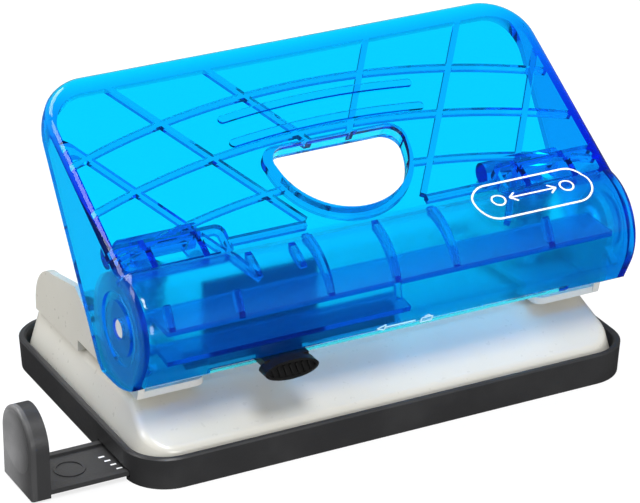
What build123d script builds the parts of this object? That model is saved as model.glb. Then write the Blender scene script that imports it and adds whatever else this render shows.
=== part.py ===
from build123d import *
import os
from math import atan2, cos, degrees, hypot, radians, sin, sqrt, tan

os.makedirs("parts", exist_ok=True)

# Frame: +X along the length, +Y from the paper entry to the back, +Z up.
# The origin is at the centre of the tray's underside. The handle is modelled raised, at rest.

# Overall sizes
TRAY_L = 102.0
TRAY_W = 62.2
TRAY_H = 6.2
TRAY_R = 8.3
TRAY_TAPER = 3.5
TRAY_WALL = 1.3
TRAY_FLOOR = 1.2

# Base plate, a drawn sheet-steel pan
PAN_T = 1.2
PAN_GAP = 0.5
PAN_Z0 = 3.6
PAN_TOP = 12.2
PAN_TAPER = 16.0

# Punches, at the standard spacing
HOLE_SPACING = 80.0
PUNCH_X = HOLE_SPACING / 2
PUNCH_Y = -8.0
PUNCH_R = 2.75
PUNCH_TIP_Z = 14.8
PUNCH_TOP_Z = 33.5
FIT = 0.06

# Handle
PIVOT_Y = -20.3
PIVOT_Z = 28.2
HANDLE_L = 100.4
WALL = 2.0
BARREL_R = 11.1
PLATE_C = 10.2
PLATE_ANGLE = 30.6
PLATE_TOP_S = 47.8
TOP_LIP = 3.5
CREST_T = 1.6
CORNER_R = 9.5
EDGE_R = 2.2
PRESS_ANGLE = 25.0

# Brackets
SHEET_T = 1.3
CHEEK_X = HANDLE_L / 2 - 3.9
CHEEK_OUT = CHEEK_X + SHEET_T
FLANGE_IN = 34.0
SLOT_GAP = 2.2
GUIDE_Z = PAN_TOP + SLOT_GAP
STOP_Y = PUNCH_Y + 12.0
NOSE_R = 5.5
PIN_R = 1.9
UPPER_Z = 19.9

# Paper guide
BAR_Y0 = -24.3
BAR_Y1 = -11.6
BAR_Z0 = 0.4
BAR_Z1 = 2.0
BAR_STEP = 1.1
BAR_X0 = -69.0
BAR_X1 = 35.0
STOP_T = 3.6
STOP_R = 6.5
STOP_TOP = 16.0
DISH_R = 20.0
DISH_DEPTH = 0.8

PLATE_DIR = Vector(0, cos(radians(PLATE_ANGLE)), sin(radians(PLATE_ANGLE)))
PLATE_NORMAL = Vector(0, -sin(radians(PLATE_ANGLE)), cos(radians(PLATE_ANGLE)))
PIVOT = Vector(0, PIVOT_Y, PIVOT_Z)


def plate_plane(depth=0.0):
    """A plane along the handle's pressing plate, depth mm under its outer face."""
    origin = PIVOT + PLATE_NORMAL * (PLATE_C - depth)
    return Plane(origin=origin, x_dir=(1, 0, 0), z_dir=PLATE_NORMAL)


def plate_yz(s, depth=0.0):
    """The (y, z) point s mm up the plate and depth mm under its outer face."""
    p = PIVOT + PLATE_NORMAL * (PLATE_C - depth) + PLATE_DIR * s
    return (p.Y, p.Z)


def barrel_yz(angle, radius):
    """The (y, z) point on a circle round the pivot, angle degrees below the front."""
    a = radians(angle)
    return (PIVOT_Y - radius * cos(a), PIVOT_Z - radius * sin(a))


# ---------------------------------------------------------------- tray
draft = TRAY_H * tan(radians(TRAY_TAPER))
floor_draft = draft - TRAY_FLOOR * tan(radians(TRAY_TAPER))
with BuildPart() as base_tray:
    with BuildSketch(Plane.XY):
        RectangleRounded(TRAY_L - 2 * draft, TRAY_W - 2 * draft, TRAY_R - draft)
    extrude(amount=TRAY_H, taper=-TRAY_TAPER)
    inset = 2 * (floor_draft + TRAY_WALL)
    with BuildSketch(Plane.XY.offset(TRAY_FLOOR)):
        RectangleRounded(TRAY_L - inset, TRAY_W - inset, TRAY_R - floor_draft - TRAY_WALL)
    extrude(amount=TRAY_H, taper=-TRAY_TAPER, mode=Mode.SUBTRACT)
    # channel under the floor for the paper guide's bar
    bar_mid = (BAR_Y0 + BAR_Y1) / 2
    bar_w = BAR_Y1 - BAR_Y0
    with BuildSketch(Plane.XY):
        with Locations((0, bar_mid)):
            Rectangle(TRAY_L - 2 * TRAY_WALL, bar_w + 3.0)
    extrude(amount=BAR_Z1 + 1.3)
    with BuildSketch(Plane.XY.offset(BAR_STEP - 0.3)):
        with Locations((-TRAY_WALL, bar_mid)):
            Rectangle(TRAY_L - TRAY_WALL, bar_w + 0.6)
    extrude(amount=BAR_Z1 + 0.6 - BAR_STEP, mode=Mode.SUBTRACT)
    with BuildSketch(Plane.XY):
        with Locations((-TRAY_WALL, bar_mid)):
            Rectangle(TRAY_L - TRAY_WALL, bar_w - 1.8)
    extrude(amount=BAR_Z1, mode=Mode.SUBTRACT)
    # snap ribs on the inner walls, which the pan's skirt drops between
    with BuildSketch(Plane.XY.offset(TRAY_FLOOR)):
        with Locations((-20, TRAY_W / 2 - 1.2), (20, TRAY_W / 2 - 1.2)):
            Rectangle(8, 1.0)
    extrude(amount=2.0)
    chamfer(base_tray.edges().group_by(Axis.Z)[-1], 0.3)

# ---------------------------------------------------------------- paper guide
with BuildPart() as paper_guide:
    with BuildSketch(Plane.XY.offset(BAR_STEP)):
        with Locations(((BAR_X0 + BAR_X1) / 2, bar_mid)):
            Rectangle(BAR_X1 - BAR_X0, bar_w)
    extrude(amount=BAR_Z1 - BAR_STEP)
    with BuildSketch(Plane.XY.offset(BAR_Z0)):
        with Locations(((BAR_X0 + BAR_X1) / 2, bar_mid)):
            Rectangle(BAR_X1 - BAR_X0, bar_w - 2.4)
    extrude(amount=BAR_STEP - BAR_Z0)
    with BuildSketch(Plane.XY.offset(BAR_Z1)):
        with Locations(((BAR_X0 + STOP_T + BAR_X1) / 2, bar_mid)):
            Rectangle(BAR_X1 - BAR_X0 - STOP_T - 2.4, bar_w - 2.4)
    extrude(amount=-0.5, mode=Mode.SUBTRACT)
    with BuildSketch(Plane.XY.offset(BAR_Z1 - 0.5)):
        with Locations((BAR_X0 + STOP_T + 6.2, bar_mid)):
            Circle(2.9)
            Circle(2.4, mode=Mode.SUBTRACT)
    extrude(amount=0.2)
    # upright stop with a round top and a dished thumb face
    with BuildSketch(Plane.YZ.offset(BAR_X0)):
        stop_z = STOP_TOP - STOP_R
        with Locations((bar_mid + 0.15, (stop_z + BAR_Z0) / 2)):
            Rectangle(2 * STOP_R, stop_z - BAR_Z0)
        with Locations((bar_mid + 0.15, stop_z)):
            Circle(STOP_R)
    extrude(amount=STOP_T)
    stop_rim = paper_guide.edges().filter_by(lambda e: e.center().X < BAR_X0 + 0.1 and e.center().Z > BAR_Z1)
    fillet(stop_rim, 0.5)
    with Locations((BAR_X0 + DISH_DEPTH - DISH_R, bar_mid + 0.15, stop_z - 0.3)):
        Sphere(DISH_R, mode=Mode.SUBTRACT)

# ---------------------------------------------------------------- base plate


def pan(inset):
    """The pan's solid envelope, inset mm inside its outer skin."""
    half_y = TRAY_W / 2 - TRAY_WALL - 0.5
    slope_run = half_y + PUNCH_Y - 9.7
    with BuildPart() as p:
        with BuildSketch(Plane.XY.offset(PAN_Z0 - (1.0 if inset else 0.0))):
            length = TRAY_L - 2 * (TRAY_WALL + PAN_GAP + inset)
            RectangleRounded(length, 2 * (half_y - inset), TRAY_R - 1.6 - inset)
        extrude(amount=20.0, taper=PAN_TAPER)
        top = PAN_TOP - inset
        with BuildSketch(Plane.YZ):
            with BuildLine():
                Polyline(
                    (-half_y + inset - 1.5, PAN_Z0 - 3),
                    (-half_y + inset - 1.5, PAN_Z0 + 2.2 - inset),
                    (-half_y + inset + 0.7, PAN_Z0 + 3.0 - inset),
                    (PUNCH_Y - 9.0, top),
                    (half_y + 3, top),
                    (half_y + 3, PAN_Z0 - 3),
                    close=True,
                )
            face = make_face()
            fillet(face.vertices().sort_by(Axis.Z)[-2:].sort_by(Axis.Y)[0], 1.2 * slope_run)
        extrude(amount=TRAY_L, both=True, mode=Mode.INTERSECT)
    return p.part


with BuildPart() as base_plate:
    add(pan(0.0))
    rim = base_plate.edges().filter_by(lambda e: e.center().Z > PAN_Z0 + 3.5)
    fillet(rim.filter_by(lambda e: e.length > 3), 1.8)
    add(pan(PAN_T), mode=Mode.SUBTRACT)
    with BuildSketch(Plane.XY.offset(PAN_TOP + 1)):
        with Locations((-PUNCH_X, PUNCH_Y), (PUNCH_X, PUNCH_Y)):
            Circle(PUNCH_R + 1.05)
        for side in (-1, 1):
            with Locations((side * (PUNCH_X - 1), STOP_Y + 5.5), (side * (PUNCH_X - 1), STOP_Y + 14)):
                Circle(1.5)
    extrude(amount=-6, mode=Mode.SUBTRACT)

# ---------------------------------------------------------------- dies
def die(side):
    """A hardened bush let into the pan from below."""
    with BuildPart() as p:
        with BuildSketch(Plane.XY.offset(PAN_TOP - PAN_T)):
            with Locations((side * PUNCH_X, PUNCH_Y)):
                Circle(PUNCH_R + 2.25)
        extrude(amount=-2.2)
        with BuildSketch(Plane.XY.offset(PAN_TOP - PAN_T)):
            with Locations((side * PUNCH_X, PUNCH_Y)):
                Circle(PUNCH_R + 1.0)
        extrude(amount=PAN_T)
        with BuildSketch(Plane.XY.offset(PAN_TOP)):
            with Locations((side * PUNCH_X, PUNCH_Y)):
                Circle(PUNCH_R + FIT)
        extrude(amount=-2.0, mode=Mode.SUBTRACT)
        with BuildSketch(Plane.XY.offset(PAN_TOP - 2.0)):
            with Locations((side * PUNCH_X, PUNCH_Y)):
                Circle(PUNCH_R + 0.5)
        extrude(amount=-3.0, mode=Mode.SUBTRACT)
    return p.part


with BuildPart() as left_die:
    add(die(-1))
with BuildPart() as right_die:
    add(die(1))

# ---------------------------------------------------------------- brackets
LOBE_Y = STOP_Y + 10.6
LOBE_Z = PAN_TOP + 1.8
LOBE_R = 9.0
FLANGE_Y0 = PUNCH_Y - 14.0
FLANGE_MID = (FLANGE_IN + CHEEK_OUT) / 2
FLANGE_W = CHEEK_OUT - FLANGE_IN
LATCH_ANGLE = 12.5 + PRESS_ANGLE


def bracket_steel():
    """The right-hand bracket, folded from one sheet."""
    with BuildPart() as p:
        # cheek
        with BuildSketch(Plane.YZ.offset(CHEEK_X)):
            with BuildLine():
                Polyline(
                    barrel_yz(-5, NOSE_R),
                    (FLANGE_Y0, GUIDE_Z),
                    (STOP_Y, GUIDE_Z),
                    (STOP_Y, PAN_TOP),
                    (LOBE_Y + LOBE_R, PAN_TOP),
                    (LOBE_Y + LOBE_R, LOBE_Z),
                    (LOBE_Y, LOBE_Z + LOBE_R),
                    (STOP_Y + 0.6, LOBE_Z + LOBE_R + 2.0),
                    (PUNCH_Y + 6.0, UPPER_Z + SHEET_T),
                    (PUNCH_Y - 5.5, UPPER_Z + SHEET_T),
                    (PIVOT_Y + 3.8, PIVOT_Z + 3.8),
                    (PIVOT_Y, PIVOT_Z),
                    close=True,
                )
            make_face()
            with Locations((PIVOT_Y, PIVOT_Z)):
                Circle(NOSE_R)
            with Locations((LOBE_Y, LOBE_Z)):
                Circle(LOBE_R)
            with Locations((LOBE_Y, PAN_TOP - 10)):
                Rectangle(30, 20, mode=Mode.SUBTRACT)
            with Locations(Location((PIVOT_Y, PIVOT_Z), 180 + LATCH_ANGLE)):
                with Locations((6.8, 0)):
                    Rectangle(3.6, 0.9)
            with Locations((PIVOT_Y, PIVOT_Z)):
                Circle(PIN_R, mode=Mode.SUBTRACT)
        extrude(amount=SHEET_T)
        # lower guide flange over the paper slot, stepping down to the foot
        with BuildSketch(Plane.XY.offset(GUIDE_Z)):
            depth = STOP_Y + SHEET_T - FLANGE_Y0
            with Locations((FLANGE_MID, FLANGE_Y0 + depth / 2)):
                plate = Rectangle(FLANGE_W, depth)
            fillet(plate.vertices().group_by(Axis.X)[0].sort_by(Axis.Y)[0], 2.0)
        extrude(amount=SHEET_T)
        with BuildSketch(Plane.XY.offset(PAN_TOP)):
            with Locations((FLANGE_MID, STOP_Y + SHEET_T / 2)):
                Rectangle(FLANGE_W, SHEET_T)
        extrude(amount=SLOT_GAP)
        with BuildSketch(Plane.XY.offset(PAN_TOP)):
            with Locations((FLANGE_MID, STOP_Y + 9.5)):
                foot = Rectangle(FLANGE_W, 18.0)
            fillet(foot.vertices().group_by(Axis.X)[0].sort_by(Axis.Y)[-1], 3.0)
        extrude(amount=SHEET_T)
        # upper guide flange
        with BuildSketch(Plane.XY.offset(UPPER_Z)):
            with Locations((FLANGE_MID, PUNCH_Y)):
                guide = Rectangle(FLANGE_W, 10.0)
            fillet(guide.vertices().group_by(Axis.X)[0], 3.0)
        extrude(amount=SHEET_T)
        # guide bores and rivet holes
        with BuildSketch(Plane.XY.offset(UPPER_Z + 5)):
            with Locations((PUNCH_X, PUNCH_Y)):
                Circle(PUNCH_R + FIT)
        extrude(amount=PAN_TOP - UPPER_Z - 5, mode=Mode.SUBTRACT)
        with BuildSketch(Plane.XY.offset(PAN_TOP + 2)):
            with Locations((PUNCH_X - 1, STOP_Y + 5.5), (PUNCH_X - 1, STOP_Y + 14)):
                Circle(1.5)
        extrude(amount=-4, mode=Mode.SUBTRACT)
    return p.part


with BuildPart() as right_bracket:
    add(bracket_steel())
with BuildPart() as left_bracket:
    add(bracket_steel().mirror(Plane.YZ))


def rivets(side):
    """Two rivets holding a bracket's foot to the pan."""
    with BuildPart() as p:
        spots = [(side * (PUNCH_X - 1), STOP_Y + 5.5), (side * (PUNCH_X - 1), STOP_Y + 14)]
        with BuildSketch(Plane.XY.offset(PAN_TOP - PAN_T)):
            with Locations(*spots):
                Circle(1.5)
        extrude(amount=PAN_T + SHEET_T)
        with BuildSketch(Plane.XY.offset(PAN_TOP + SHEET_T)):
            with Locations(*spots):
                Circle(2.6)
        extrude(amount=1.0, taper=25)
        with BuildSketch(Plane.XY.offset(PAN_TOP - PAN_T)):
            with Locations(*spots):
                Circle(2.6)
        extrude(amount=-0.8, taper=25)
    return p.part


with BuildPart() as left_bracket_rivets:
    add(rivets(-1))
with BuildPart() as right_bracket_rivets:
    add(rivets(1))

# ---------------------------------------------------------------- pivot pins


def pivot_pin(side):
    """A headed pin pressed into the cheek; the handle's boss turns on it."""
    with BuildPart() as p:
        with BuildSketch(Plane.YZ.offset(CHEEK_X)):
            with Locations((PIVOT_Y, PIVOT_Z)):
                Circle(PIN_R)
        extrude(amount=HANDLE_L / 2 - 0.3 - CHEEK_X)
        chamfer(p.edges().group_by(Axis.X)[-1], 0.3)
        with BuildSketch(Plane.YZ.offset(CHEEK_X)):
            with Locations((PIVOT_Y, PIVOT_Z)):
                Circle(PIN_R + 1.3)
        extrude(amount=-1.1)
        fillet(p.edges().group_by(Axis.X)[0], 0.4)
    if side < 0:
        return p.part.mirror(Plane.YZ)
    return p.part


with BuildPart() as left_pivot_pin:
    add(pivot_pin(-1))
with BuildPart() as right_pivot_pin:
    add(pivot_pin(1))

# ---------------------------------------------------------------- punches
CLIP_Z = PUNCH_TOP_Z - 2.1
CLIP_T = 0.6
CLIP_GROOVE_R = PUNCH_R - 0.55


def punch(side):
    """A hardened punch with a hollow-ground tip and a clip groove."""
    with BuildPart() as p:
        with BuildSketch(Plane.XY.offset(PUNCH_TIP_Z)):
            with Locations((side * PUNCH_X, PUNCH_Y)):
                Circle(PUNCH_R)
        extrude(amount=PUNCH_TOP_Z - PUNCH_TIP_Z)
        fillet(p.edges().group_by(Axis.Z)[-1], 0.8)
        with BuildSketch(Plane.XZ.offset(-PUNCH_Y)):
            with Locations((side * PUNCH_X, PUNCH_TIP_Z - 2.6)):
                Circle(4.0)
        extrude(amount=5, both=True, mode=Mode.SUBTRACT)
        with BuildSketch(Plane.XY.offset(CLIP_Z - 0.05)):
            with Locations((side * PUNCH_X, PUNCH_Y)):
                Circle(PUNCH_R + 1)
                Circle(CLIP_GROOVE_R, mode=Mode.SUBTRACT)
        extrude(amount=CLIP_T + 0.1, mode=Mode.SUBTRACT)
    return p.part


def clip(side):
    """An open retaining clip for the punch's groove."""
    with BuildPart() as p:
        with BuildSketch(Plane.XY.offset(CLIP_Z)):
            with Locations((side * PUNCH_X, PUNCH_Y)):
                Circle(PUNCH_R + 1.4)
                Circle(CLIP_GROOVE_R + 0.02, mode=Mode.SUBTRACT)
            with Locations((side * PUNCH_X, PUNCH_Y - 4)):
                Rectangle(2.9, 8, mode=Mode.SUBTRACT)
            with Locations((side * PUNCH_X - 3.1, PUNCH_Y + 1.5), (side * PUNCH_X + 3.1, PUNCH_Y + 1.5)):
                Circle(0.45, mode=Mode.SUBTRACT)
        extrude(amount=CLIP_T)
    return p.part


def washer(side):
    """The washer the spring pushes up against."""
    with BuildPart() as p:
        with BuildSketch(Plane.XY.offset(CLIP_Z - 0.65)):
            with Locations((side * PUNCH_X, PUNCH_Y)):
                Circle(PUNCH_R + 1.6)
                Circle(PUNCH_R + FIT, mode=Mode.SUBTRACT)
        extrude(amount=0.6)
    return p.part


SPRING_WIRE = 0.35
SPRING_R = PUNCH_R + 0.8
SPRING_Z0 = UPPER_Z + SHEET_T + 0.02
SPRING_Z1 = CLIP_Z - 0.67


def spring(side):
    """A compression spring on the punch, between the upper flange and the washer."""
    height = SPRING_Z1 - SPRING_Z0 - 2 * SPRING_WIRE
    with BuildPart() as p:
        with BuildLine():
            coil = Helix(pitch=height / 5.0, height=height, radius=SPRING_R)
        with BuildSketch(Plane(origin=coil @ 0, z_dir=coil % 0)):
            Circle(SPRING_WIRE)
        sweep(path=coil, is_frenet=True)
    return p.part.moved(Location((side * PUNCH_X, PUNCH_Y, SPRING_Z0 + SPRING_WIRE)))


with BuildPart() as left_punch:
    add(punch(-1))
with BuildPart() as right_punch:
    add(punch(1))
with BuildPart() as left_punch_clip:
    add(clip(-1))
with BuildPart() as right_punch_clip:
    add(clip(1))
with BuildPart() as left_spring_washer:
    add(washer(-1))
with BuildPart() as right_spring_washer:
    add(washer(1))
with BuildPart() as left_return_spring:
    add(spring(-1))
with BuildPart() as right_return_spring:
    add(spring(1))

# ---------------------------------------------------------------- handle
LIP_LEN = 3.2
CREASE = 28.0


def handle_outer():
    """The handle's solid envelope: barrel, pressing plate and the wedge of its sides."""
    join_s = sqrt(BARREL_R**2 - PLATE_C**2)
    crease = barrel_yz(CREASE, BARREL_R)
    lip = (crease[0] + LIP_LEN * sin(radians(CREASE)), crease[1] - LIP_LEN * cos(radians(CREASE)))
    heel = (PIVOT_Y + 2.8, PIVOT_Z - 11.7)
    with BuildPart() as p:
        with BuildSketch(Plane.YZ):
            with BuildLine():
                Line(plate_yz(PLATE_TOP_S), plate_yz(join_s))
                ThreePointArc(plate_yz(join_s), barrel_yz(-25, BARREL_R), crease)
                Line(crease, lip)
                ThreePointArc(lip, (PIVOT_Y - 3.4, PIVOT_Z - 10.6), heel)
                Line(heel, (PIVOT_Y + 7.6, PIVOT_Z - 11.7))
                Line((PIVOT_Y + 7.6, PIVOT_Z - 11.7), (PIVOT_Y + 9.3, PIVOT_Z - 10.4))
                Line((PIVOT_Y + 9.3, PIVOT_Z - 10.4), plate_yz(PLATE_TOP_S, CREST_T))
                Line(plate_yz(PLATE_TOP_S, CREST_T), plate_yz(PLATE_TOP_S))
            make_face()
        extrude(amount=HANDLE_L / 2, both=True)
        with BuildSketch(plate_plane()):
            with Locations((0, PLATE_TOP_S - 50)):
                RectangleRounded(HANDLE_L, 100, CORNER_R)
        extrude(amount=60, both=True, mode=Mode.INTERSECT)
        skin = p.faces().filter_by(lambda f: abs(f.normal_at(f.center()).X) > 0.99)
        rim = skin.edges().filter_by(lambda e: not_opening(e.center()))
        fillet(rim, EDGE_R)
    return p.part


def not_opening(c):
    """True where an edge point lies on the plate, the barrel or the lip, not on the open rim."""
    rel = Vector(0, c.Y - PIVOT_Y, c.Z - PIVOT_Z)
    on_plate = rel.dot(PLATE_NORMAL) > PLATE_C - 0.2
    return on_plate or (rel.Y < -2 and rel.length > BARREL_R - 0.1 and rel.Z > -9.0)


def handle_cavity():
    """The space inside the shell, open to the back and below."""
    r = BARREL_R - WALL
    join_s = sqrt(r**2 - (PLATE_C - WALL) ** 2)
    crease = barrel_yz(CREASE, r)
    low = (crease[0] + 14 * sin(radians(CREASE)), crease[1] - 14 * cos(radians(CREASE)))
    top = PLATE_TOP_S - TOP_LIP
    back = (PIVOT_Y + 40, PIVOT_Z - 24)
    with BuildPart() as p:
        with BuildSketch(Plane.YZ):
            with BuildLine():
                Line(plate_yz(top, WALL), plate_yz(join_s, WALL))
                ThreePointArc(plate_yz(join_s, WALL), barrel_yz(-25, r), crease)
                Line(crease, low)
                Polyline(low, back, plate_yz(top, 40), plate_yz(top, WALL))
            make_face()
        extrude(amount=HANDLE_L / 2 - WALL, both=True)
        with BuildSketch(plate_plane()):
            with Locations((0, top - 50)):
                RectangleRounded(HANDLE_L - 2 * WALL, 100, CORNER_R - 2.5)
        extrude(amount=60, both=True, mode=Mode.INTERSECT)
    return p.part


def finger_hole(grow, depth0, depth1):
    """The D-shaped finger hole as a plug between two depths under the plate's face."""
    w = 13.2 + grow
    top = 23.8 + grow
    with BuildPart() as p:
        with BuildSketch(plate_plane(depth0)):
            with BuildLine():
                Line((-w + 2.8, top), (w - 2.8, top))
                ThreePointArc((w - 2.8, top), (w - 0.6, top - 1.2), (w, top - 4.3))
                ThreePointArc((w, top - 4.3), (0, 7.8 - grow), (-w, top - 4.3))
                ThreePointArc((-w, top - 4.3), (-w + 0.6, top - 1.2), (-w + 2.8, top))
            make_face()
        extrude(amount=depth0 - depth1)
    return p.part


RIB_ARC_R = 150.0
RIB_TOPS = (40.7, 30.0, 19.4)
RIB_W = 1.1
RIB_H = 1.2


def plate_ribs():
    """The net of ribs under the plate: three wide arcs crossed by leaning straight ribs."""
    with BuildPart() as p:
        with BuildSketch(plate_plane(WALL - 0.2)):
            for s in RIB_TOPS:
                SlotArc(CenterArc((0, s - RIB_ARC_R), RIB_ARC_R, 69, 42), RIB_W)
            for side in (-1, 1):
                for x0, s0, x1, s1 in ((3.5, 23.8, 17.6, 46), (12, 8.4, 37.3, 46), (25.0, -1.0, 56.0, 46)):
                    mid = ((x0 + x1) / 2 * side, (s0 + s1) / 2)
                    lean = degrees(atan2(s1 - s0, side * (x1 - x0)))
                    with Locations(Location(mid, lean)):
                        Rectangle(hypot(x1 - x0, s1 - s0), RIB_W)
        extrude(amount=-(RIB_H + 0.2))
    return p.part


def barrel_ribs():
    """Hoops and short fins inside the barrel, and the shelf along it."""
    outer = BARREL_R - WALL + 0.3
    hoops = ((-13, -100, -13), (0.3, -90, 8), (12.4, -100, -14))
    fins = ((-25.5, -84, -50), (-16.9, -84, -50), (-30.6, -42, -11), (-44, -42, -13), (32.2, -46, -11))
    with BuildPart() as p:
        for x, top, bottom in hoops + fins:
            with BuildSketch(Plane.YZ.offset(x)):
                with BuildLine():
                    middle = (top + bottom) / 2
                    Line(barrel_yz(top, outer), barrel_yz(top, outer - 1.4))
                    ThreePointArc(
                        barrel_yz(top, outer - 1.4),
                        barrel_yz(middle, outer - 2.0),
                        barrel_yz(bottom, outer - 0.9),
                    )
                    Line(barrel_yz(bottom, outer - 0.9), barrel_yz(bottom, outer))
                    ThreePointArc(barrel_yz(bottom, outer), barrel_yz(middle, outer), barrel_yz(top, outer))
                make_face()
            extrude(amount=0.6, both=True)
        with BuildSketch(Plane.XY.offset(PIVOT_Z + 1.3)):
            with Locations((0, PIVOT_Y - 4.4)):
                Rectangle(HANDLE_L - 10.4, 8.8)
        extrude(amount=1.0)
        # the step across the plate, between the pockets and the finger hole's surround
        with BuildSketch(plate_plane(WALL - 0.2)):
            with Locations((-20.0, 7.5), (20.0, 7.5)):
                Rectangle(15.4, 1.2)
        extrude(amount=-1.7)
    return p.part


BOX_S0 = 4.4
BOX_S1 = 11.3
BOX_X = 27.4
BOX_DEPTH = 2.2
PAD_R = 2.2
PAD_Z = PUNCH_TOP_Z + 0.3 + PAD_R


def pressers():
    """Shallow boxes under the plate, each over a round bar that presses on a punch."""
    width = HANDLE_L / 2 - 1 - BOX_X
    height = BOX_S1 - BOX_S0
    with BuildPart() as p:
        for side in (-1, 1):
            with BuildSketch(plate_plane(WALL - 0.2)):
                with Locations((side * (BOX_X + width / 2), BOX_S0 + height / 2)):
                    RectangleRounded(width, height, 1.8)
                    RectangleRounded(width - 2.2, height - 2.2, 0.8, mode=Mode.SUBTRACT)
            extrude(amount=-BOX_DEPTH)
            with BuildSketch(Plane.YZ.offset(side * (PUNCH_X - 2.5))):
                with Locations((PUNCH_Y, PAD_Z)):
                    Circle(PAD_R)
            extrude(amount=8, both=True)
            # two webs carry each bar from the plate
            for x in (PUNCH_X - 7.3, PUNCH_X + 2.7):
                with BuildSketch(Plane.YZ.offset(side * x)):
                    with BuildLine():
                        Polyline(
                            plate_yz(5.5, WALL - 0.2),
                            plate_yz(BOX_S1, WALL - 0.2),
                            plate_yz(BOX_S1, 8.2),
                            plate_yz(14.5, 8.4),
                            (PUNCH_Y, PAD_Z),
                            plate_yz(12.5, 9.6),
                            plate_yz(9.0, 8.0),
                            plate_yz(5.5, 4.2),
                            close=True,
                        )
                    make_face()
                extrude(amount=0.6, both=True)
    return p.part


BAR_RAIL_Z = PIVOT_Z - 4.2


def slider_rail():
    """The rail inside the front lip that the lock's bar runs under."""
    with BuildPart() as p:
        with BuildSketch(Plane.XY.offset(BAR_RAIL_Z)):
            with Locations((-21, PIVOT_Y - 5.8)):
                Rectangle(48, 6.0)
        extrude(amount=1.0)
        with BuildSketch(Plane.YZ.offset(-15.5)):
            with Locations((PIVOT_Y - 3.2, BAR_RAIL_Z - 1.8)):
                Rectangle(0.8, 3.8)
            with Locations((PIVOT_Y - 3.7, BAR_RAIL_Z - 3.2)):
                Rectangle(1.8, 0.8)
        extrude(amount=18.5)
    return p.part


def inside_envelope(feature, envelope):
    """The part of an inner feature that lies inside the handle's envelope."""
    with BuildPart() as p:
        add(feature)
        add(envelope, mode=Mode.INTERSECT)
    return p.part


outer = handle_outer()
features = [inside_envelope(f, outer) for f in (plate_ribs(), barrel_ribs(), pressers(), slider_rail())]
with BuildPart() as handle_shell:
    add(outer)
    add(handle_cavity(), mode=Mode.SUBTRACT)
    # side bosses round the pivot, then the recessed rings and the running bore
    with BuildSketch(Plane.YZ.offset(HANDLE_L / 2 - 0.6)):
        with Locations((PIVOT_Y, PIVOT_Z)):
            Circle(6.8)
            Circle(5.2, mode=Mode.SUBTRACT)
    extrude(amount=1, mode=Mode.SUBTRACT)
    with BuildSketch(Plane.YZ.offset(-HANDLE_L / 2 + 0.6)):
        with Locations((PIVOT_Y, PIVOT_Z)):
            Circle(6.8)
            Circle(5.2, mode=Mode.SUBTRACT)
    extrude(amount=-1, mode=Mode.SUBTRACT)
    with BuildSketch(Plane.YZ):
        with Locations((PIVOT_Y, PIVOT_Z)):
            Circle(PIN_R + FIT)
    extrude(amount=HANDLE_L, both=True, mode=Mode.SUBTRACT)
    # ribs, pockets and rail
    for feature in features:
        add(feature)
    add(finger_hole(1.2, 1.0, 3.6))
    add(finger_hole(0.0, -2.0, 6.0), mode=Mode.SUBTRACT)
    # raised grip bars above the hole
    with BuildSketch(plate_plane(0.2)):
        for s in (36.1, 30.6):
            SlotArc(CenterArc((0, s - RIB_ARC_R), RIB_ARC_R, 82.7, 14.6), 1.6)
    extrude(amount=0.7)
    # the front lip is cut higher between the ends, to clear the lock's thumb piece
    with BuildSketch(Plane.XY.offset(PIVOT_Z - 7.0)):
        with Locations((0, PIVOT_Y - 8.0)):
            Rectangle(73, 5.0)
    extrude(amount=-4, mode=Mode.SUBTRACT)

# ---------------------------------------------------------------- lock
LOCK_TRAVEL = 7.5
BAR_TOP = BAR_RAIL_Z - 0.3
with BuildPart() as lock_slider:
    # bar under the rail, with the latch tip at its left end
    with BuildSketch(Plane.YZ.offset(-36)):
        with Locations((PIVOT_Y - 5.0, BAR_TOP - 1.05)):
            Rectangle(2.2, 2.1)
    extrude(amount=37)
    with BuildSketch(Plane.YZ.offset(-40.4)):
        with Locations((PIVOT_Y - 5.1, PIVOT_Z - 6.1)):
            Rectangle(1.2, 1.2)
    extrude(amount=5)
    # upright plate inside the barrel, joined to the bar by a web
    with BuildSketch(Plane.YZ.offset(-33)):
        with Locations((PIVOT_Y + 2.1, PIVOT_Z - 3.1)):
            Rectangle(1.2, 14.4)
    extrude(amount=22.5)
    with BuildSketch(Plane.YZ.offset(-33)):
        with Locations((PIVOT_Y - 1.2, BAR_TOP - 1.5)):
            Rectangle(6.6, 1.2)
    extrude(amount=17)
    # neck under the front lip
    with BuildSketch(Plane.YZ.offset(-26.4)):
        with Locations((PIVOT_Y - 5.4, PIVOT_Z - 7.5)):
            Rectangle(1.0, 3.2)
        with Locations((PIVOT_Y - 7.4, PIVOT_Z - 8.35)):
            Rectangle(4.0, 1.5)
    extrude(amount=8.8)
    # thumb piece in front of the lip, with an oval ribbed face
    with BuildSketch(Plane.XZ.offset(-PIVOT_Y + 11.6)):
        with Locations((-22, PIVOT_Z - 9.2)):
            Ellipse(5.3, 1.9)
    extrude(amount=-2.6)
    with BuildSketch(Plane.XZ.offset(-PIVOT_Y + 11.6)):
        with Locations((-22, PIVOT_Z - 9.2)):
            Ellipse(4.7, 1.45)
    extrude(amount=-0.5, mode=Mode.SUBTRACT)
    with BuildSketch(Plane.XZ.offset(-PIVOT_Y + 11.1)):
        with Locations(*[Location((-22 + 1.2 * i, PIVOT_Z - 9.2), 20) for i in range(-3, 4)]):
            Rectangle(0.35, 2.1)
    extrude(amount=0.4)

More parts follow.
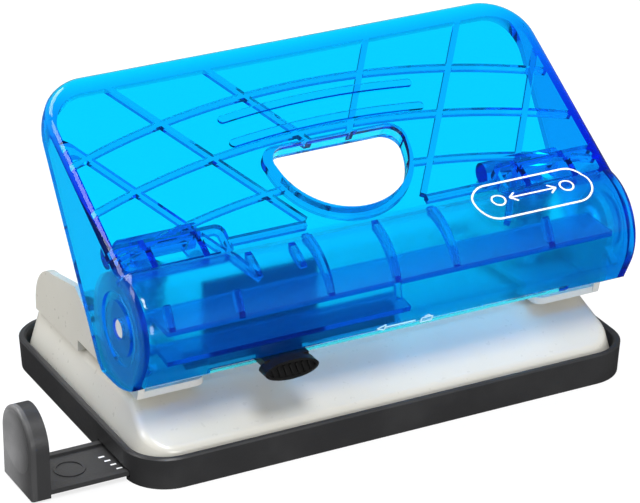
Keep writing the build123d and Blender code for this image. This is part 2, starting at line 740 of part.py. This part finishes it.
nodes = {
    "base_tray": base_tray,
    "paper_guide": paper_guide,
    "base_plate": base_plate,
    "left_die": left_die,
    "right_die": right_die,
    "left_bracket": left_bracket,
    "right_bracket": right_bracket,
    "left_bracket_rivets": left_bracket_rivets,
    "right_bracket_rivets": right_bracket_rivets,
    "left_pivot_pin": left_pivot_pin,
    "right_pivot_pin": right_pivot_pin,
    "left_punch": left_punch,
    "right_punch": right_punch,
    "left_punch_clip": left_punch_clip,
    "right_punch_clip": right_punch_clip,
    "left_spring_washer": left_spring_washer,
    "right_spring_washer": right_spring_washer,
    "left_return_spring": left_return_spring,
    "right_return_spring": right_return_spring,
    "handle_shell": handle_shell,
    "lock_slider": lock_slider,
}
for label, built in nodes.items():
    built.part.label = label
    export_step(built.part, "parts/" + label + ".step")
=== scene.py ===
from math import asin, cos, pi, radians, sin, sqrt

import bpy
from mathutils import Matrix, Vector


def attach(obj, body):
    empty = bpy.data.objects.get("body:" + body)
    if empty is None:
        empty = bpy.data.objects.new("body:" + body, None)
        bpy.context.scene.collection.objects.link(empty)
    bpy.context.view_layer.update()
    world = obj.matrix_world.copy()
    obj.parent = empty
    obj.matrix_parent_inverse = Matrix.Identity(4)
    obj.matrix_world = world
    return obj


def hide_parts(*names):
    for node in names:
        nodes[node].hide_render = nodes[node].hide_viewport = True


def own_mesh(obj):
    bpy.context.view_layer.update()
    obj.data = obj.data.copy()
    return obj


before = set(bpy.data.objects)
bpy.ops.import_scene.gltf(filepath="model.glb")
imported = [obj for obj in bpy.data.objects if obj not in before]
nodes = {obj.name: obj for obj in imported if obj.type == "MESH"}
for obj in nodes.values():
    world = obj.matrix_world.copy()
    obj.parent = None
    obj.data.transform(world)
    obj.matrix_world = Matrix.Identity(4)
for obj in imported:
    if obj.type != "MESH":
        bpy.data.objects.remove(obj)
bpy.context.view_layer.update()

# ---------------------------------------------------------------- Viewpoint
# The punch stands on a pale table and is looked at from its front left corner, a little
# from above, through a long lens that keeps its long edges nearly parallel.
AIM = Vector((0, 0, 0.0222))
AZIMUTH = radians(-27.57)
ELEVATION = radians(25.62)
ROLL = radians(0.21)
DISTANCE = 0.5998

back = Vector((sin(AZIMUTH) * cos(ELEVATION), -cos(AZIMUTH) * cos(ELEVATION), sin(ELEVATION)))
level = Vector((0, 0, 1)).cross(back).normalized()
upright = back.cross(level)
right = level * cos(ROLL) + upright * sin(ROLL)
upward = upright * cos(ROLL) - level * sin(ROLL)
lens = bpy.data.cameras.new("view")
lens.lens = 181.1
lens.sensor_width = 36
lens.shift_x = 0.0005
lens.shift_y = 0.011
lens.clip_start = 0.05
lens.clip_end = 20
camera = bpy.data.objects.new("view", lens)
turn = Matrix((right, upward, back)).transposed().to_4x4()
camera.matrix_world = Matrix.Translation(AIM + back * DISTANCE) @ turn
bpy.context.collection.objects.link(camera)
bpy.context.scene.camera = camera
bpy.context.scene.view_settings.view_transform = "Standard"

# ---------------------------------------------------------------- Table and lamps
# A wide matt white table in a bright white room, and four soft boxes. What polished surfaces
# mirror is kept darker than what lights them, as black flags round a glossy product do.
TABLE_SIDE = 6.0
TABLE_DROP = 0.0001
ROOM_LIGHT = 0.42
MIRRORED_LIGHT = 0.22
WALL_WHITE = (1.0, 1.0, 1.0)
CEILING_GREY = (0.3, 0.31, 0.33)
BACKDROP_WHITE = (0.97, 0.97, 0.97, 1.0)
TABLE_GLOW = 0.78


class Wire:
    """One output of a tree's nodes. Sums, differences and products on it add Math nodes."""

    def __init__(self, tree, socket=None):
        self.tree = tree
        self.socket = socket

    def node(self, kind, settings=None, inputs=None, out=0):
        """Adds a node: its settings first, then the values or wires of its sockets."""
        made = self.tree.nodes.new(kind)
        for name, value in (settings or {}).items():
            if name == "stops":
                ramp = made.color_ramp
                while len(ramp.elements) < len(value):
                    ramp.elements.new(1.0)
                for element, (place, colour) in zip(ramp.elements, value):
                    element.position = place
                    element.color = (*colour, 1.0)
            else:
                setattr(made, name, value)
        for name, value in (inputs or {}).items():
            if isinstance(value, Wire):
                self.tree.links.new(value.socket, made.inputs[name])
            else:
                made.inputs[name].default_value = value
        return Wire(self.tree, made.outputs[out] if made.outputs else None)

    def maths(self, operation, first, second):
        return self.node("ShaderNodeMath", {"operation": operation}, {0: first, 1: second})

    def __add__(self, other):
        return self.maths("ADD", self, other)

    def __radd__(self, other):
        return self.maths("ADD", other, self)

    def __sub__(self, other):
        return self.maths("SUBTRACT", self, other)

    def __rsub__(self, other):
        return self.maths("SUBTRACT", other, self)

    def __mul__(self, other):
        return self.maths("MULTIPLY", self, other)

    def __rmul__(self, other):
        return self.maths("MULTIPLY", other, self)

    def clamp(self, low, high, new_low=0.0, new_high=1.0):
        """Runs from new_low to new_high as this value goes from low to high."""
        ends = {"From Min": low, "From Max": high, "To Min": new_low, "To Max": new_high}
        return self.node("ShaderNodeMapRange", {"interpolation_type": "SMOOTHSTEP"}, {"Value": self, **ends})

    def mix(self, low, high):
        """The colour low where this value is 0 and high where it is 1."""
        low, high = ((*c, 1.0) if isinstance(c, tuple) else c for c in (low, high))
        return self.node("ShaderNodeMix", {"data_type": "RGBA"}, {0: self, 6: low, 7: high}, out=2)


room = bpy.data.worlds.new("room")
room.use_nodes = True
room.node_tree.nodes.clear()
sky = Wire(room.node_tree)
height = sky.node("ShaderNodeSeparateXYZ", inputs={0: sky.node("ShaderNodeTexCoord", out="Generated")}, out=2)
shade = height.clamp(0.05, 0.7).mix(WALL_WHITE, CEILING_GREY)
mirrored = sky.node("ShaderNodeBackground", inputs={"Color": shade, "Strength": MIRRORED_LIGHT})
light = sky.node("ShaderNodeBackground", inputs={"Color": (*WALL_WHITE, 1.0), "Strength": ROOM_LIGHT})
seen = sky.node("ShaderNodeBackground", inputs={"Color": BACKDROP_WHITE, "Strength": 1.0})


def reflected(tree):
    """1 for a ray that a polished surface threw back, and 0 for one that went through it."""
    through = 1 - tree.node("ShaderNodeLightPath", out="Is Transmission Ray")
    return through * tree.node("ShaderNodeLightPath", out="Is Glossy Ray")


bounces = sky.node("ShaderNodeLightPath", out="Diffuse Depth")
lit = sky.node("ShaderNodeMixShader", inputs={0: bounces.maths("MINIMUM", bounces, 1.0), 1: seen, 2: light})
sky.node("ShaderNodeOutputWorld", inputs={
    "Surface": sky.node("ShaderNodeMixShader", inputs={0: reflected(sky), 1: lit, 2: mirrored})})
bpy.context.scene.world = room


def soft_box(name, towards, distance, width, depth, watts):
    """A rectangular lamp that faces the punch from the direction towards."""
    lamp = bpy.data.lights.new(name, "AREA")
    lamp.shape = "RECTANGLE"
    lamp.size = width
    lamp.size_y = depth
    lamp.energy = watts
    holder = bpy.data.objects.new(name, lamp)
    direction = Vector(towards).normalized()
    holder.location = AIM + direction * distance
    holder.rotation_mode = "QUATERNION"
    holder.rotation_quaternion = direction.to_track_quat("Z", "Y")
    bpy.context.collection.objects.link(holder)


soft_box("left_box", (-0.77, 0.19, 0.58), 0.9, 0.25, 0.5, 2.4)
soft_box("back_box", (-0.25, 0.6, 0.8), 1.1, 0.8, 0.5, 8.5)
soft_box("key_box", (-0.1, -0.46, 0.88), 1.1, 0.35, 0.35, 9.0)
soft_box("front_box", (0.0, -0.9, 0.22), 1.1, 0.5, 0.3, 4.0)

table_mesh = bpy.data.meshes.new("table")
half_side = TABLE_SIDE / 2
corners = [(x * half_side, y * half_side, 0) for x, y in ((-1, -1), (1, -1), (1, 1), (-1, 1))]
table_mesh.from_pydata(corners, [], [(0, 1, 2, 3)])
table = bpy.data.objects.new("table", table_mesh)
table.location.z = -TABLE_DROP
bpy.context.collection.objects.link(table)


def new_finish(name):
    """A new empty material, and a wire that carries the piece's Object coordinates."""
    material = bpy.data.materials.new(name)
    material.use_nodes = True
    material.node_tree.nodes.clear()
    return material, Wire(material.node_tree).node("ShaderNodeTexCoord", out="Object")


def noise(place, scale, detail=2.0, roughness=0.5):
    """Smooth noise of one value, scale waves to the metre."""
    values = {"Vector": place, "Scale": scale, "Detail": detail, "Roughness": roughness}
    return place.node("ShaderNodeTexNoise", inputs=values)


def bump(surface, distance, strength=1.0):
    """A normal that follows the value surface, distance metres high."""
    values = {"Height": surface, "Distance": distance, "Strength": strength}
    return surface.node("ShaderNodeBump", inputs=values)


def coat(place, inputs):
    """Ends a material in one Principled shader with these sockets."""
    shader = place.node("ShaderNodeBsdfPrincipled", inputs=inputs)
    place.node("ShaderNodeOutputMaterial", inputs={"Surface": shader})


def dress(material, slot, *names):
    """Gives these CAD nodes a material. The slot argument is not used."""
    for name in names:
        piece = nodes[name]
        piece.data.materials.clear()
        piece.data.materials.append(material)


white_table, at = new_finish("white_table")
top = at.node("ShaderNodeBsdfPrincipled", inputs={
    "Base Color": noise(at, 30).mix((0.20, 0.20, 0.20), (0.22, 0.22, 0.22)),
    "Roughness": 0.9,
    "Emission Color": (*WALL_WHITE, 1.0),
    "Emission Strength": TABLE_GLOW,
})
flagged = at.node("ShaderNodeBsdfDiffuse", inputs={"Color": (0.03, 0.03, 0.03, 1.0)})
at.node("ShaderNodeOutputMaterial", inputs={
    "Surface": at.node("ShaderNodeMixShader", inputs={0: reflected(at), 1: top, 2: flagged})})
table.data.materials.append(white_table)

# ---------------------------------------------------------------- Tray
# The tray that catches the paper dots, moulded in black high-impact plastic. It snaps round
# the steel base from below. Its outside is satin, with a fine spark-eroded grain.
black_plastic, at = new_finish("black_plastic")
grain = noise(at, 2600, detail=1.0)
scuff = noise(at, 55, detail=4.0, roughness=0.65).clamp(0.35, 0.75)
coat(at, {
    "Base Color": scuff.mix((0.019, 0.019, 0.020), (0.027, 0.027, 0.028)),
    "Roughness": grain * 0.08 + scuff * 0.1 + 0.36,
    "Normal": bump(grain, 0.00004, 0.6),
    "Specular IOR Level": 0.45,
})
dress(black_plastic, "tray_black", "base_tray")

# ---------------------------------------------------------------- Paper guide
# A flat bar that slides out of the tray's left end, with an upright stop for the paper's edge,
# moulded in the same black plastic. A paler sheen is painted onto the stop's dished outer face.
STOP_FACE = (-0.0678, -0.0681)
SHEEN_FADES = (-0.0240, -0.0125)
sheen_painted_plastic, at = new_finish("sheen_painted_plastic")
grain = noise(at, 2600, detail=1.0)
# painted sheen: the stop's dished outer face is coloured paler, more so towards its back, in patches
dish = at.node("ShaderNodeSeparateXYZ", inputs={0: at}, out=0).clamp(*STOP_FACE)
painted_sheen = dish * at.node("ShaderNodeSeparateXYZ", inputs={0: at}, out=1).clamp(*SHEEN_FADES, 0.1, 1.0)
patchiness = noise(at, 240, detail=3.0).clamp(0.3, 0.7)
coat(at, {
    "Base Color": (painted_sheen * (patchiness * 0.25 + 0.75)).mix((0.026, 0.026, 0.027), (0.24, 0.24, 0.245)),
    "Roughness": grain * 0.08 + patchiness * 0.1 + 0.34,
    "Normal": bump(grain, 0.00004, 0.6),
    "Specular IOR Level": 0.45,
})
dress(sheen_painted_plastic, "guide_black", "paper_guide")

# ---------------------------------------------------------------- Base plate
# A pan drawn from sheet steel and finished in thick cream enamel, which rounds its edges and
# dries with a faint orange peel. It sits in the tray and carries both punch units.
cream_enamel, at = new_finish("cream_enamel")
peel = noise(at, 900, detail=1.5)
cloud = noise(at, 45, detail=3.0).clamp(0.3, 0.7)
coat(at, {
    "Base Color": cloud.mix((0.56, 0.545, 0.485), (0.60, 0.585, 0.525)),
    "Roughness": peel * 0.08 + 0.25,
    "Normal": bump(peel, 0.00003, 0.35),
    "Coat Weight": 0.4,
    "Coat Roughness": 0.12,
})
dress(cream_enamel, "cream_steel", "base_plate", "left_bracket", "right_bracket")

# ---------------------------------------------------------------- Dies, rivets, punches and pins
# Small turned and headed steel parts. The hardened dies, rivets, clips and washers are left
# as ground, the punches are zinc plated, and the pins that the handle turns on are polished.
plain_steel, at = new_finish("plain_steel")
streak = noise(at.node("ShaderNodeMapping", inputs={"Vector": at, "Scale": (1.0, 1.0, 9.0)}), 1500)
coat(at, {
    "Base Color": noise(at, 300).mix((0.55, 0.555, 0.57), (0.66, 0.665, 0.68)),
    "Metallic": 1.0,
    "Roughness": streak * 0.2 + 0.2,
    "Normal": bump(streak, 0.00001, 0.5),
})
dress(plain_steel, "die_steel", "left_die", "right_die")
dress(plain_steel, "fastener_steel", "left_bracket_rivets", "right_bracket_rivets", "left_punch_clip",
      "right_punch_clip", "left_spring_washer", "right_spring_washer")

zinc_plate, at = new_finish("zinc_plate")
bloom = noise(at, 700, detail=3.0)
coat(at, {
    "Base Color": bloom.mix((0.68, 0.69, 0.71), (0.80, 0.80, 0.80)),
    "Metallic": 1.0,
    "Roughness": bloom * 0.15 + 0.22,
    "Normal": bump(bloom, 0.00001, 0.4),
})
dress(zinc_plate, "punch_steel", "left_punch", "right_punch")

bright_pin, at = new_finish("bright_pin")
turned = noise(at, 900, detail=3.0)
coat(at, {
    "Base Color": turned.mix((0.74, 0.75, 0.76), (0.90, 0.90, 0.89)),
    "Metallic": 0.35,
    "Roughness": turned * 0.15 + 0.3,
    "Normal": bump(turned, 0.00001, 0.4),
})
dress(bright_pin, "pin_steel", "left_pivot_pin", "right_pivot_pin")

# ---------------------------------------------------------------- Return springs
# Each punch is lifted by a coil of oil-tempered spring wire, five turns round it, that stands
# on the bracket's upper flange and pushes up on a washer. Here it is one rigid coil that moves with its
# punch.
PUNCH_AT = (0.040, -0.0080)
SPRING_FOOT = 0.02122
SPRING_HEIGHT = 0.00951
SPRING_RADIUS = 0.00355
SPRING_WIRE = 0.00035
SPRING_TURNS = 5.0


def geometry_tree(name, sizes):
    """A new Geometry Nodes tree with these named lengths as inputs, and a wire to its inputs."""
    tree = bpy.data.node_groups.new(name, "GeometryNodeTree")
    tree.interface.new_socket("Geometry", in_out="INPUT", socket_type="NodeSocketGeometry")
    for size in sizes:
        tree.interface.new_socket(size, in_out="INPUT", socket_type="NodeSocketFloat")
    tree.interface.new_socket("Geometry", in_out="OUTPUT", socket_type="NodeSocketGeometry")
    return Wire(tree, tree.nodes.new("NodeGroupInput").outputs[0])


def size_of(wire, name):
    """The tree's input called name."""
    return Wire(wire.tree, wire.socket.node.outputs[name])


def grow(name, start, shape, material, sizes):
    """Ends a tree in shape and its material, runs it once, and keeps the plain mesh it makes."""
    whole = start.node("GeometryNodeRealizeInstances", inputs={"Geometry": shape})
    painted = start.node("GeometryNodeSetMaterial", inputs={"Geometry": whole, "Material": material})
    start.node("NodeGroupOutput", inputs={"Geometry": painted})
    seed = bpy.data.objects.new(name + "_seed", bpy.data.meshes.new(name + "_seed"))
    bpy.context.collection.objects.link(seed)
    modifier = seed.modifiers.new("grow", "NODES")
    modifier.node_group = start.tree
    for item in start.tree.interface.items_tree:
        if item.in_out == "INPUT" and item.name in sizes:
            modifier[item.identifier] = sizes[item.name]
    ready = bpy.context.evaluated_depsgraph_get()
    mesh = bpy.data.meshes.new_from_object(seed.evaluated_get(ready), depsgraph=ready)
    bpy.data.objects.remove(seed)
    piece = bpy.data.objects.new(name, mesh)
    bpy.context.collection.objects.link(piece)
    return piece


oiled_steel, at = new_finish("oiled_steel")
temper = noise(at, 900, detail=3.0)
coat(at, {
    "Base Color": temper.mix((0.30, 0.31, 0.34), (0.42, 0.43, 0.45)),
    "Metallic": 1.0,
    "Roughness": temper * 0.2 + 0.3,
})
for side, hand in ((-1, "left"), (1, "right")):
    start = geometry_tree(hand + "_coil", ["Radius", "Height", "Turns", "Wire"])
    line = start.node("GeometryNodeCurveSpiral", inputs={
        "Resolution": 40, "Rotations": size_of(start, "Turns"), "Start Radius": size_of(start, "Radius"),
        "End Radius": size_of(start, "Radius"), "Height": size_of(start, "Height")})
    section = start.node("GeometryNodeCurvePrimitiveCircle", inputs={
        "Resolution": 12, "Radius": size_of(start, "Wire")})
    shape = start.node("GeometryNodeCurveToMesh", inputs={
        "Curve": line, "Profile Curve": section, "Fill Caps": True})
    shape = start.node("GeometryNodeTransform", inputs={
        "Geometry": shape, "Translation": (side * PUNCH_AT[0], PUNCH_AT[1], SPRING_FOOT + SPRING_WIRE)})
    coil = grow(hand + "_spring_coil", start, shape, oiled_steel, {
        "Radius": SPRING_RADIUS, "Height": SPRING_HEIGHT - 2 * SPRING_WIRE,
        "Turns": SPRING_TURNS, "Wire": SPRING_WIRE})
    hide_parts(hand + "_return_spring")
    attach(coil, hand + "_punch_unit")
    top = (side * PUNCH_AT[0], PUNCH_AT[1], SPRING_FOOT + SPRING_HEIGHT)
    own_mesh(coil)

# ---------------------------------------------------------------- Handle
# One large moulding in clear blue polystyrene, coloured right through, so it deepens in ribs,
# bosses and edges. It is polished outside, and inside the barrel the mould is left unpolished:
# the mist that this leaves hides the works.
PIVOT = Vector((0, -0.0203, 0.0282))
BARREL_R = 0.0111
SKIN = 0.0007
MIST_STARTS = 0.0004
MIST_SHARE = 0.17
clear_blue, at = new_finish("clear_blue")
flow = noise(at, 40, detail=1.0)
from_axis = [at.node("ShaderNodeSeparateXYZ", inputs={0: at}, out=i) - PIVOT[i] for i in (1, 2)]
radius = from_axis[0] * from_axis[0] + from_axis[1] * from_axis[1]
inside_barrel = radius.maths("POWER", radius, 0.5).clamp(BARREL_R - SKIN, BARREL_R - SKIN - MIST_STARTS)
shell = at.node("ShaderNodeBsdfPrincipled", inputs={
    "Base Color": (1.0, 1.0, 1.0, 1.0),
    "Roughness": inside_barrel * 0.2 + 0.03,
    "IOR": 1.42,
    "Transmission Weight": 1.0,
    "Normal": bump(flow, 0.0002, 0.4),
    # painted glow: a faint blue emission lightens the shell's darkest edges, though the plastic gives off no
    # light
    "Emission Color": (0.0, 0.1, 0.4, 1.0),
    "Emission Strength": 0.05,
})
mist = at.node("ShaderNodeBsdfPrincipled", inputs={
    "Base Color": noise(at, 500).mix((0.0, 0.20, 0.38), (0.0, 0.25, 0.45)), "Roughness": 0.5})
shell = at.node("ShaderNodeMixShader", inputs={0: inside_barrel * MIST_SHARE, 1: shell, 2: mist})
pass_on = at.node("ShaderNodeBsdfTransparent", inputs={"Color": (0.74, 0.72, 0.72, 1.0)})
for_lamps = at.node("ShaderNodeLightPath", out="Is Shadow Ray")
tint = at.node("ShaderNodeVolumeAbsorption", inputs={"Color": (0.0, 0.938, 0.992, 1.0), "Density": 4000.0})
at.node("ShaderNodeOutputMaterial", inputs={
    "Surface": at.node("ShaderNodeMixShader", inputs={0: for_lamps, 1: shell, 2: pass_on}),
    "Volume": tint,
})
dress(clear_blue, "blue_shell", "handle_shell")

# ---------------------------------------------------------------- Print on the handle
# White ink printed round the front of the barrel: a pill-shaped outline with a plain sign for
# two holes and the space between them, in lines a third of a millimetre wide.
PLATE_HEIGHT = 0.0102
PLATE_ANGLE = radians(30.6)
PILL_CENTRE = (0.0314, -0.0020)
PILL_SIZE = (0.0242, 0.0082)
LINE_WIDTH = 0.00036
INK_HEIGHT = 0.00004
RING_RADIUS = 0.0013
RING_PLACE = 0.0072
ARROW_TIP = 0.0049
ARROW_BARB = 0.0011
BARB_BACK = 0.0014


def ribbon(start, curve, width, thickness):
    """A flat strip of this width and thickness that follows a flat curve."""
    profile = start.node("GeometryNodeCurvePrimitiveQuadrilateral", inputs={
        "Width": width, "Height": thickness})
    return start.node("GeometryNodeCurveToMesh", inputs={
        "Curve": curve, "Profile Curve": profile, "Fill Caps": True})


def line_between(start, first, last, points):
    """A straight line between two places on the flat, with this many points on it."""
    ends = {"Start": (*first, 0.0), "End": (*last, 0.0)}
    run = start.node("GeometryNodeCurvePrimitiveLine", inputs=ends)
    return start.node("GeometryNodeResampleCurve", inputs={"Curve": run, "Count": points})


def joined(start, *shapes):
    """Several shapes as one."""
    node = start.tree.nodes.new("GeometryNodeJoinGeometry")
    for shape in shapes:
        start.tree.links.new(shape.socket, node.inputs[0])
    return Wire(start.tree, node.outputs[0])


white_ink, at = new_finish("white_ink")
coat(at, {"Base Color": noise(at, 2000).mix((0.80, 0.82, 0.84), (0.92, 0.93, 0.94)), "Roughness": 0.45})

start = geometry_tree("pill_print", ["Width", "Height", "Line", "Ink"])
outline = start.node("GeometryNodeCurvePrimitiveQuadrilateral", inputs={
    "Width": size_of(start, "Width"), "Height": size_of(start, "Height")})
outline = start.node("GeometryNodeFilletCurve", {"mode": "POLY"}, {
    "Curve": outline, "Count": 12, "Limit Radius": True, "Radius": size_of(start, "Height") * 0.48})
outline = start.node("GeometryNodeResampleCurve", inputs={"Curve": outline, "Count": 160})
marks = [outline]
for side in (-1, 1):
    ring = start.node("GeometryNodeCurvePrimitiveCircle", inputs={"Resolution": 28, "Radius": RING_RADIUS})
    marks.append(start.node("GeometryNodeTransform", inputs={
        "Geometry": ring, "Translation": (side * RING_PLACE, 0.0, 0.0)}))
    for barb in (ARROW_BARB, -ARROW_BARB):
        marks.append(line_between(start, (side * (ARROW_TIP - BARB_BACK), barb), (side * ARROW_TIP, 0.0), 4))
marks.append(line_between(start, (-ARROW_TIP, 0.0), (ARROW_TIP, 0.0), 12))
flat = ribbon(start, joined(start, *marks), size_of(start, "Line"), size_of(start, "Ink"))
# wraps the flat print round the barrel: X stays, Y goes round it, Z stands off its surface
place = start.node("GeometryNodeInputPosition")
x, y, z = (start.node("ShaderNodeSeparateXYZ", inputs={0: place}, out=axis) for axis in range(3))
join_angle = asin(sqrt(BARREL_R**2 - PLATE_HEIGHT**2) / BARREL_R)
along = y + PILL_CENTRE[1]
on_plate = along.maths("MAXIMUM", along, 0.0)
round_barrel = along.maths("MINIMUM", along, 0.0) * (1 / BARREL_R) + (join_angle - PLATE_ANGLE)
radius = z + (BARREL_R + INK_HEIGHT / 2)
across = radius * round_barrel.maths("SINE", round_barrel, 0.0) + on_plate * cos(PLATE_ANGLE)
up = radius * round_barrel.maths("COSINE", round_barrel, 0.0) + on_plate * sin(PLATE_ANGLE)
wrapped = start.node("ShaderNodeCombineXYZ", inputs={
    0: x + PILL_CENTRE[0], 1: across + PIVOT.y, 2: up + PIVOT.z})
shape = start.node("GeometryNodeSetPosition", inputs={"Geometry": flat, "Position": wrapped})
pill = grow("handle_print", start, shape, white_ink, {
    "Width": PILL_SIZE[0], "Height": PILL_SIZE[1], "Line": LINE_WIDTH, "Ink": INK_HEIGHT})
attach(pill, "handle")

# ---------------------------------------------------------------- Sign on the front lip
# A plain sign that stands proud on the lip beside the lock: an arrow that points the way to
# slide it, and a padlock. It shows as pale blue lines on the polished lip.
LIP_ANGLE = radians(28.0)
LIP_TOP = Vector((0.0025, -0.0301, 0.0230))
DOWN_LIP = 0.0016
LIP_SIGN = LIP_TOP + DOWN_LIP * Vector((0, sin(LIP_ANGLE), -cos(LIP_ANGLE)))
SIGN_LINE = 0.00028
SIGN_HEIGHT = 0.00016
ARROW_HEAD = ((-6.2, 0), (-4.6, 0.75), (-4.6, -0.75), (-6.2, 0))
ARROW_SHAFT = ((-4.6, 0), (1.6, 0))
LOCK_BODY = ((2.9, 0.2), (5.1, 0.2), (5.1, -1.0), (2.9, -1.0), (2.9, 0.2))
SHACKLE_AT = (0.0040, 0.0002, 0.0)
SHACKLE_RADIUS = 0.00055


def path(start, *corners):
    """Straight lines through these corners, given in millimetres."""
    places = [(x / 1000, y / 1000) for x, y in corners]
    runs = [line_between(start, first, last, 3) for first, last in zip(places, places[1:])]
    return joined(start, *runs)


pale_blue, at = new_finish("pale_blue")
coat(at, {"Base Color": noise(at, 3000).mix((0.42, 0.74, 0.90), (0.62, 0.86, 0.96)), "Roughness": 0.3})

start = geometry_tree("lip_sign", ["Line", "Height"])
shackle = start.node("GeometryNodeCurveArc", {"mode": "RADIUS"}, {
    "Resolution": 12, "Radius": SHACKLE_RADIUS, "Start Angle": 0.0, "Sweep Angle": pi})
shackle = start.node("GeometryNodeTransform", inputs={
    "Geometry": shackle, "Translation": SHACKLE_AT})
lines = joined(start, *(path(start, *corners) for corners in (ARROW_HEAD, ARROW_SHAFT, LOCK_BODY)), shackle)
shape = ribbon(start, lines, size_of(start, "Line"), size_of(start, "Height"))
shape = start.node("GeometryNodeTransform", inputs={
    "Geometry": shape, "Translation": tuple(LIP_SIGN), "Rotation": (pi / 2 + LIP_ANGLE, 0.0, 0.0)})
sign = grow("lip_sign", start, shape, pale_blue, {"Line": SIGN_LINE, "Height": SIGN_HEIGHT})
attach(sign, "handle")

# ---------------------------------------------------------------- Scale on the guide bar
# White ticks printed across the sunken face of the bar. The tick at the tray's edge tells
# which sheet size the stop is set for, and the rest come out as the bar is drawn.
TICK_LENGTH = 0.0011
TICK_WIDTH = 0.0004
TICK_STEP = 0.0017
TICK_SHIFT = -0.0004
FIRST_TICK = (-0.0512, -0.0217, 0.00151)

start = geometry_tree("guide_scale", ["Length", "Width", "Step"])
tick = start.node("GeometryNodeMeshCube", inputs={"Size": start.node("ShaderNodeCombineXYZ", inputs={
    0: size_of(start, "Length"), 1: size_of(start, "Width"), 2: INK_HEIGHT})})
row = start.node("GeometryNodeMeshLine", {"mode": "OFFSET"}, {
    "Count": 4, "Start Location": FIRST_TICK,
    "Offset": start.node("ShaderNodeCombineXYZ", inputs={
        0: TICK_SHIFT, 1: size_of(start, "Step"), 2: 0.0})})
shape = start.node("GeometryNodeInstanceOnPoints", inputs={"Points": row, "Instance": tick})
ticks = grow("guide_scale", start, shape, white_ink, {
    "Length": TICK_LENGTH, "Width": TICK_WIDTH, "Step": TICK_STEP})
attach(ticks, "guide")

# ---------------------------------------------------------------- Lock
# A sliding lock of black plastic in the handle's front lip. Its thumb piece stands out under
# the lip, and pushed to the left its tip hooks the bracket and holds the handle down.
THUMB_PIECE_BACK = -0.0235
INNER_PLATE_FRONT = -0.0215
dark_plastic, at = new_finish("dark_plastic")
# painted light: the inner plate behind the thumb piece is coloured a lighter purple, standing in for light
# thrown on it inside the blue shell
depth = at.node("ShaderNodeSeparateXYZ", inputs={0: at}, out=1)
painted_light_plate = depth.clamp(THUMB_PIECE_BACK, INNER_PLATE_FRONT)
worn = noise(at, 400, detail=3.0)
coat(at, {
    "Base Color": painted_light_plate.mix(worn.mix((0.004, 0.004, 0.004), (0.008, 0.008, 0.008)), (0.03, 0.012, 0.05)),
    "Roughness": worn * 0.15 + 0.3,
    "Normal": bump(noise(at, 2600, detail=1.0), 0.00003, 0.5),
    "Specular IOR Level": 0.4,
})
dress(dark_plastic, "lock_black", "lock_slider")
